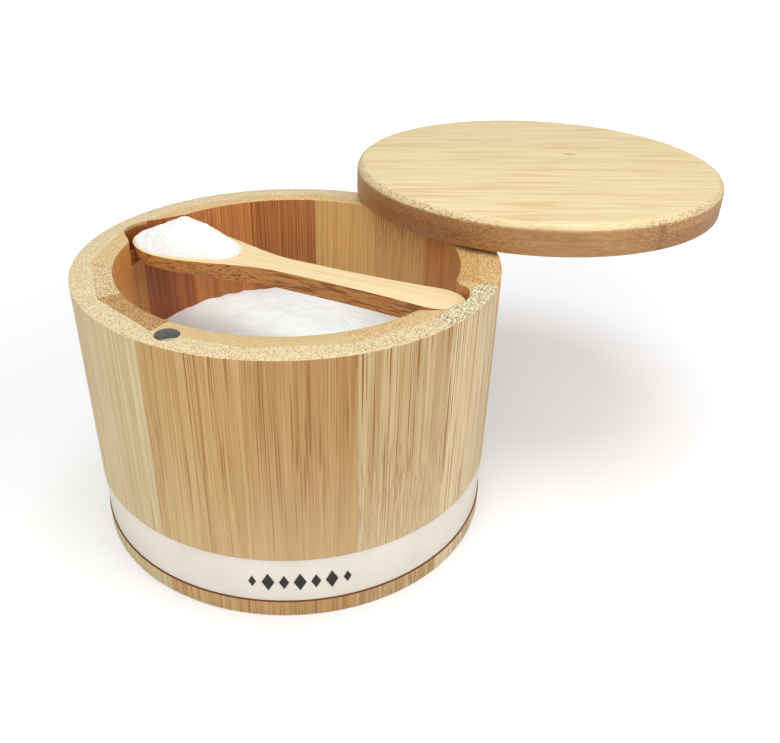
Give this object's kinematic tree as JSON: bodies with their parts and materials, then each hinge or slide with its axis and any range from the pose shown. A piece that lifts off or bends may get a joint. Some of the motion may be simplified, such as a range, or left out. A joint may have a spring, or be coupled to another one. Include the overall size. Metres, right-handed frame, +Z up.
{
  "type": "spice jar",
  "caption": "Round jar of mitred bamboo staves with a swivel lid on a hidden pin, a magnet catch, a plain band in a groove and a spoon lying in two rim pockets.",
  "frame": {"origin": "middle of the jar's flat underside, on the body's axis", "axes": "+Z up along the body's axis; -Y is the front, where the picture is taken from; +X is to its right, where the open lid hangs over"},
  "size_m": [0.1701, 0.1415, 0.0758],
  "materials": {
    "bamboo_outer": "satin oiled bamboo, vertical fibres",
    "bamboo_inner": "satin oiled bamboo, vertical fibres",
    "bamboo_lid": "satin oiled bamboo, long fibres",
    "bamboo_floor": "sanded bamboo",
    "bamboo_spoon": "sanded bamboo, long fibres",
    "silicone_band": "smooth ivory silicone",
    "nickel_magnet": "nickel plated, chamfered",
    "steel_pin": "drawn steel",
    "nylon_washer": "matt",
    "salt": "fine loose grains"
  },
  "bodies": {
    "jar": {"stave_outer_01": "bamboo_outer", "stave_outer_02": "bamboo_outer", "stave_outer_03": "bamboo_outer", "stave_outer_04": "bamboo_outer", "stave_outer_05": "bamboo_outer", "stave_outer_06": "bamboo_outer", "stave_outer_07": "bamboo_outer", "stave_outer_08": "bamboo_outer", "stave_outer_09": "bamboo_outer", "stave_outer_10": "bamboo_outer", "stave_outer_11": "bamboo_outer", "stave_outer_12": "bamboo_outer", "stave_outer_13": "bamboo_outer", "stave_outer_14": "bamboo_outer", "stave_inner_01": "bamboo_inner", "stave_inner_02": "bamboo_inner", "stave_inner_03": "bamboo_inner", "stave_inner_04": "bamboo_inner", "stave_inner_05": "bamboo_inner", "stave_inner_06": "bamboo_inner", "stave_inner_07": "bamboo_inner", "stave_inner_08": "bamboo_inner", "stave_inner_09": "bamboo_inner", "stave_inner_10": "bamboo_inner", "stave_inner_11": "bamboo_inner", "stave_inner_12": "bamboo_inner", "stave_inner_13": "bamboo_inner", "stave_inner_14": "bamboo_inner", "floor_disc": "bamboo_floor", "label_band": "silicone_band", "pivot_pin": "steel_pin", "pivot_washer": "nylon_washer", "rim_magnet": "nickel_magnet", "salt_bed": "salt"},
    "lid": {"lid_lower_strip_1": "bamboo_lid", "lid_lower_strip_2": "bamboo_lid", "lid_lower_strip_3": "bamboo_lid", "lid_lower_strip_4": "bamboo_lid", "lid_lower_strip_5": "bamboo_lid", "lid_lower_strip_6": "bamboo_lid", "lid_upper_strip_1": "bamboo_lid", "lid_upper_strip_2": "bamboo_lid", "lid_upper_strip_3": "bamboo_lid", "lid_upper_strip_4": "bamboo_lid", "lid_upper_strip_5": "bamboo_lid", "lid_upper_strip_6": "bamboo_lid", "lid_magnet": "nickel_magnet"},
    "spoon": {"spoon": "bamboo_spoon", "spoon_salt": "salt"}
  },
  "joints": [
    {"name": "lid_swivel", "type": "hinge", "parent": "jar", "child": "lid", "pos_m": [0.02504, 0.03769, 0.0667], "axis": [0, 0, 1], "range_deg": [-128.5, 231.5], "deforming": ["spoon_salt"]},
    {"name": "spoon_lift", "type": "slide", "parent": "jar", "child": "spoon", "axis": [0, 0, 1], "range_m": [0, 0.06]}
  ]
}
